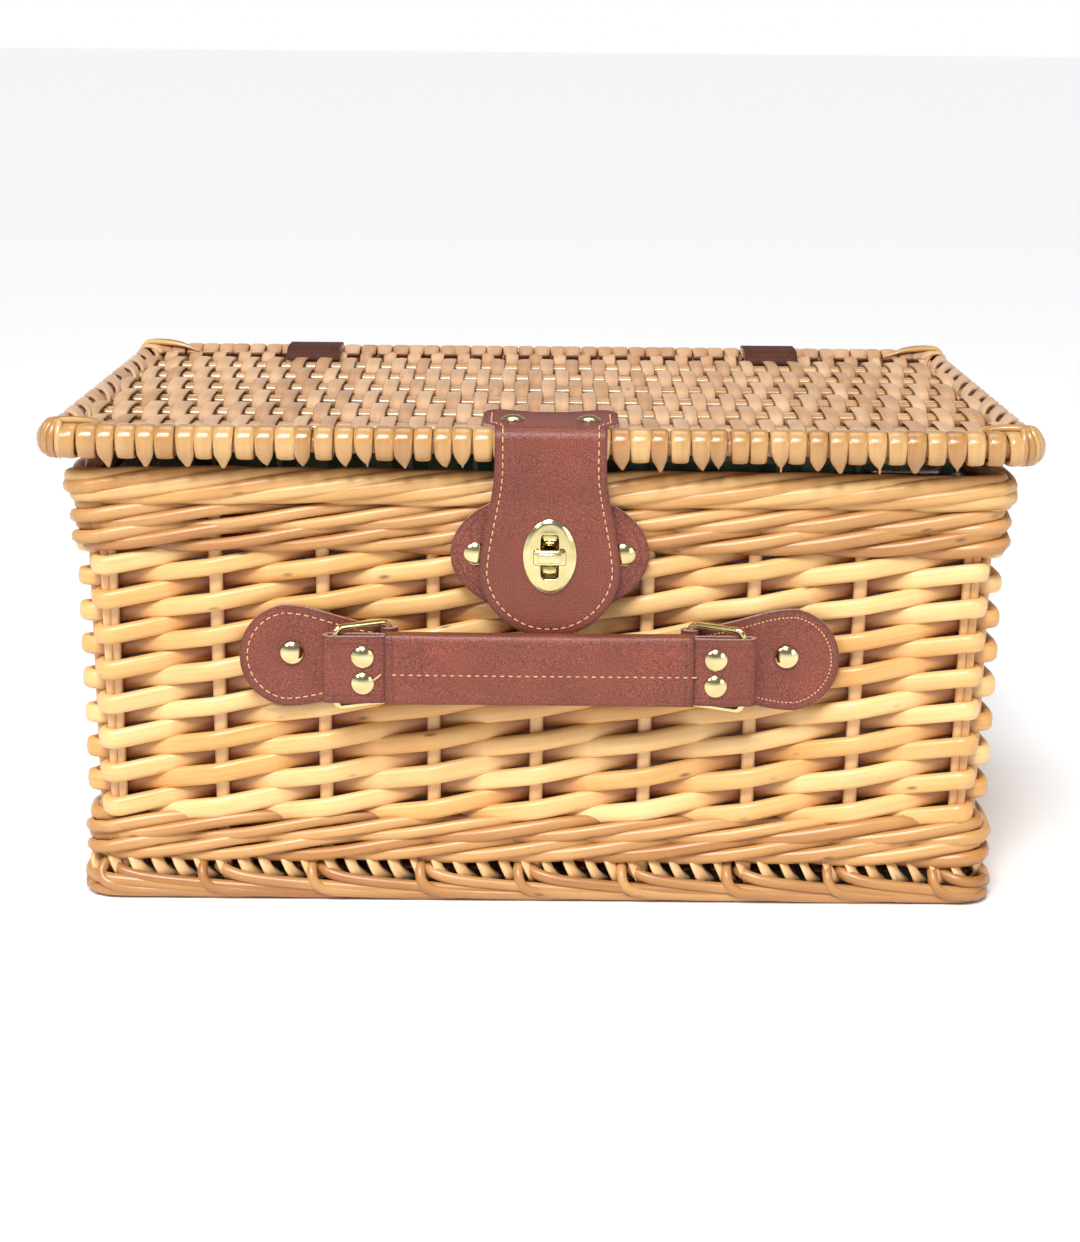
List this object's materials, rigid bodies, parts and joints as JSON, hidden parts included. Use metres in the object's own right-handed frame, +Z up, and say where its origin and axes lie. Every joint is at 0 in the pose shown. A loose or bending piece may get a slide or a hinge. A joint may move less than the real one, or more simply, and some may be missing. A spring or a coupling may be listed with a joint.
{
  "type": "picnic hamper",
  "caption": "Rectangular woven willow hamper with a hinged flat lid, leather closure strap with a turn lock, ring-hung carrying handle and an insulated inner compartment.",
  "frame": {"origin": "centre of the footprint's bounding box, on the surface the hamper stands on", "axes": "+X to the right seen from the front, -Y towards the front with lock and handle, +Z up"},
  "size_m": [0.42, 0.3023, 0.2148],
  "materials": {
    "willow": "varnished golden willow rods, satin gloss",
    "lid_skein": "flat split willow, paler and pinker, satin",
    "leather": "reddish brown grained leather with pale stitching",
    "dark_leather": "very dark brown leather",
    "brass": "polished pale brass",
    "lining_cloth": "dark green checked woven cloth",
    "cooler_foil": "silver grey wipe-clean insulating lining",
    "zip_metal": "dull nickel"
  },
  "bodies": {
    "basket": {"base_panel": "willow", "foot_border": "willow", "lower_waling": "willow", "upper_waling": "willow", "top_border": "willow", "front_wall_weave": "willow", "back_wall_weave": "willow", "left_wall_weave": "willow", "right_wall_weave": "willow", "corner_post_front_left_inner": "willow", "corner_post_front_left_outer": "willow", "corner_post_front_right_inner": "willow", "corner_post_front_right_outer": "willow", "corner_post_back_left_inner": "willow", "corner_post_back_left_outer": "willow", "corner_post_back_right_inner": "willow", "corner_post_back_right_outer": "willow", "fabric_liner": "lining_cloth", "cooler_box": "cooler_foil", "lock_patch": "leather", "patch_rivet_left": "brass", "patch_rivet_right": "brass", "lock_base": "brass", "handle_tab_left": "leather", "handle_tab_right": "leather", "tab_rivet_left": "brass", "tab_rivet_right": "brass", "hinge_strap_left_lower": "dark_leather", "hinge_rivet_left_lower": "brass", "hinge_strap_right_lower": "dark_leather", "hinge_rivet_right_lower": "brass"},
    "lid": {"lid_panel": "lid_skein", "lid_front_edge": "willow", "lid_back_edge": "willow", "lid_left_edge": "willow", "lid_right_edge": "willow", "closure_strap_top": "leather", "strap_rivet_left": "brass", "strap_rivet_right": "brass", "hinge_strap_left_upper": "dark_leather", "hinge_rivet_left_upper": "brass", "hinge_strap_right_upper": "dark_leather", "hinge_rivet_right_upper": "brass"},
    "closure_flap": {"closure_strap_flap": "leather", "slot_plate": "brass"},
    "lock_knob": {"turn_knob": "brass"},
    "handle": {"handle_strap": "leather", "handle_grip": "leather", "handle_rivet_left_lower": "brass", "handle_rivet_left_upper": "brass", "handle_rivet_right_lower": "brass", "handle_rivet_right_upper": "brass"},
    "left_ring": {"ring_left": "brass"},
    "right_ring": {"ring_right": "brass"},
    "cooler_cover": {"cooler_flap": "lining_cloth"},
    "slider": {"zip_slider": "zip_metal"}
  },
  "joints": [
    {"name": "lid_hinge", "type": "hinge", "parent": "basket", "child": "lid", "pos_m": [0, 0.1425, 0.1955], "axis": [-1, 0, 0], "range_deg": [0, 105]},
    {"name": "closure_hinge", "type": "hinge", "parent": "lid", "child": "closure_flap", "pos_m": [0.004, -0.1424, 0.2103], "axis": [-1, 0, 0], "range_deg": [0, 120]},
    {"name": "knob_turn", "type": "hinge", "parent": "basket", "child": "lock_knob", "pos_m": [0.004, -0.1355, 0.157], "axis": [0, -1, 0], "range_deg": [0, 90]},
    {"name": "handle_pull", "type": "slide", "parent": "basket", "child": "handle", "axis": [0, -1, 0], "range_m": [0, 0.008]},
    {"name": "ring_left_swing", "type": "hinge", "parent": "basket", "child": "left_ring", "pos_m": [-0.064, -0.1318, 0.11], "axis": [0, 0, 1], "range_deg": [0, 25.2]},
    {"name": "ring_right_swing", "type": "hinge", "parent": "basket", "child": "right_ring", "pos_m": [0.064, -0.1318, 0.11], "axis": [0, 0, -1], "range_deg": [0, 25.2]},
    {"name": "cooler_open", "type": "hinge", "parent": "basket", "child": "cooler_cover", "pos_m": [0.0935, 0.1175, 0.1925], "axis": [-1, 0, 0], "range_deg": [0, 95]},
    {"name": "zip_slide", "type": "slide", "parent": "basket", "child": "slider", "axis": [-1, 0, 0], "range_m": [0, 0.14]}
  ],
  "couplings": [
    {"joint": "ring_left_swing", "follows": "handle_pull", "rad_per_m": 54.8},
    {"joint": "ring_right_swing", "follows": "handle_pull", "rad_per_m": 54.8},
    {"joint": "cooler_open", "follows": "lid_hinge", "ratio": 0.9}
  ]
}
